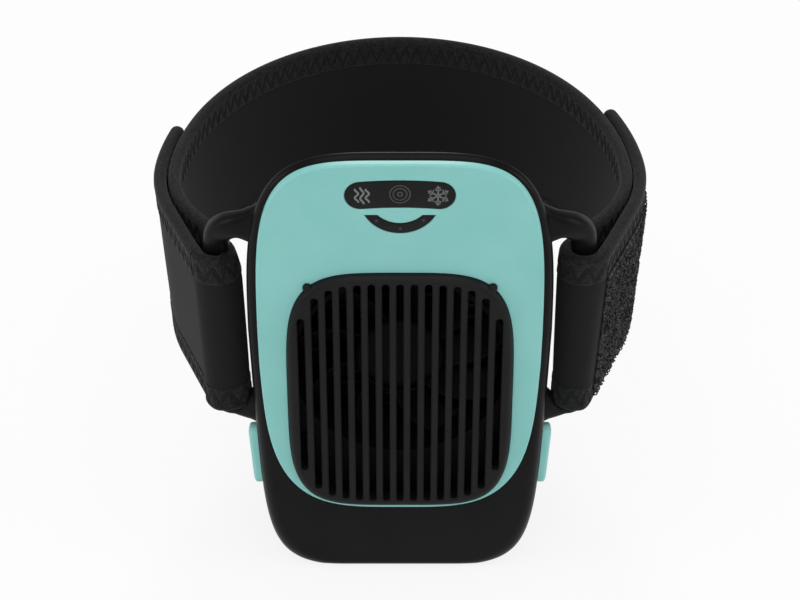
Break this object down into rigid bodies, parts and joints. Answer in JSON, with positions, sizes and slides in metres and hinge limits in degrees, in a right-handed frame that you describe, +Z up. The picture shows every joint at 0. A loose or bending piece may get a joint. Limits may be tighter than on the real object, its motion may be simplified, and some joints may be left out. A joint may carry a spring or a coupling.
{
  "type": "hot cold therapy machine",
  "caption": "Wearable hot and cold therapy unit with a slotted fan grille, side buttons, a rear contact plate and a fold-back strap.",
  "frame": {"origin": "centre line of the flat base that the unit stands on, 14 mm behind the front rim", "axes": "+Z up along the strap's axis and the limb, -Y out of the front grille, +Y out of the contact plate, +X to the right of someone who faces the grille"},
  "size_m": [0.1342, 0.1248, 0.136],
  "materials": {
    "teal_shell": "satin moulded ABS",
    "black_shell": "satin moulded ABS",
    "grille_shell": "satin moulded ABS",
    "window": "polished smoked acrylic",
    "inner_shell": "moulded",
    "circuit_board": "solder mask on glass fibre",
    "lamp": "clear potting",
    "steel": "plated",
    "copper": "enamelled winding",
    "fan_plastic": "moulded",
    "aluminium": "bead blasted",
    "ceramic": "alumina",
    "pellet": "as cut",
    "seal": "foam rubber",
    "battery_wrap": "shrink film",
    "strap_foam": "neoprene faced with knitted nylon",
    "strap_tape": "knitted edge tape, zigzag stitched",
    "hook_fabric": "moulded hook tape",
    "loop_pile": "unbrushed loop pile"
  },
  "bodies": {
    "housing": {"main_case": "black_shell", "front_cover": "teal_shell", "rear_cover": "black_shell", "grille": "grille_shell", "display_window": "window", "level_window": "window", "light_guide": "inner_shell", "control_board": "circuit_board", "indicator_leds": "lamp", "board_screws": "steel", "fan_baffle": "inner_shell", "fan_frame": "inner_shell", "fan_stator": "copper", "fan_screws": "steel", "heat_sink": "aluminium", "module_ceramics": "ceramic", "module_pellets": "pellet", "thermistor": "inner_shell", "contact_plate": "aluminium", "plate_gasket": "seal", "clamp_screws": "steel", "battery_pack": "battery_wrap", "battery_pad": "seal", "charge_board": "circuit_board", "usb_socket": "steel", "vibration_motor": "steel", "case_screws": "steel", "left_switch": "inner_shell", "right_switch": "inner_shell", "left_switch_board": "circuit_board", "right_switch_board": "circuit_board", "strap_band": "strap_foam", "band_tape_upper": "strap_tape", "band_tape_lower": "strap_tape"},
    "fan": {"fan_rotor": "fan_plastic"},
    "button_left": {"left_button": "teal_shell"},
    "button_right": {"right_button": "teal_shell"},
    "strap_end_left": {"left_flap": "strap_foam", "left_flap_tape": "strap_tape", "left_hook_patch": "hook_fabric"},
    "strap_end_right": {"right_flap": "strap_foam", "right_flap_tape": "strap_tape", "right_hook_patch": "hook_fabric", "right_loop_patch": "loop_pile"}
  },
  "joints": [
    {"name": "fan_spin", "type": "hinge", "parent": "housing", "child": "fan", "pos_m": [0, 0, 0.0673], "axis": [0, 1, 0], "continuous": true},
    {"name": "left_button_press", "type": "slide", "parent": "housing", "child": "button_left", "axis": [1, 0, 0], "range_m": [0, 0.0008], "stiffness_N_per_m": 1500},
    {"name": "right_button_press", "type": "slide", "parent": "housing", "child": "button_right", "axis": [-1, 0, 0], "range_m": [0, 0.0008], "stiffness_N_per_m": 1500},
    {"name": "left_strap_peel", "type": "hinge", "parent": "housing", "child": "strap_end_left", "pos_m": [-0.05391, -0.00631, 0.0773], "axis": [0, 0, 1], "range_deg": [0, 75]},
    {"name": "right_strap_peel", "type": "hinge", "parent": "housing", "child": "strap_end_right", "pos_m": [0.05391, -0.00631, 0.0773], "axis": [0, 0, -1], "range_deg": [0, 75]}
  ]
}
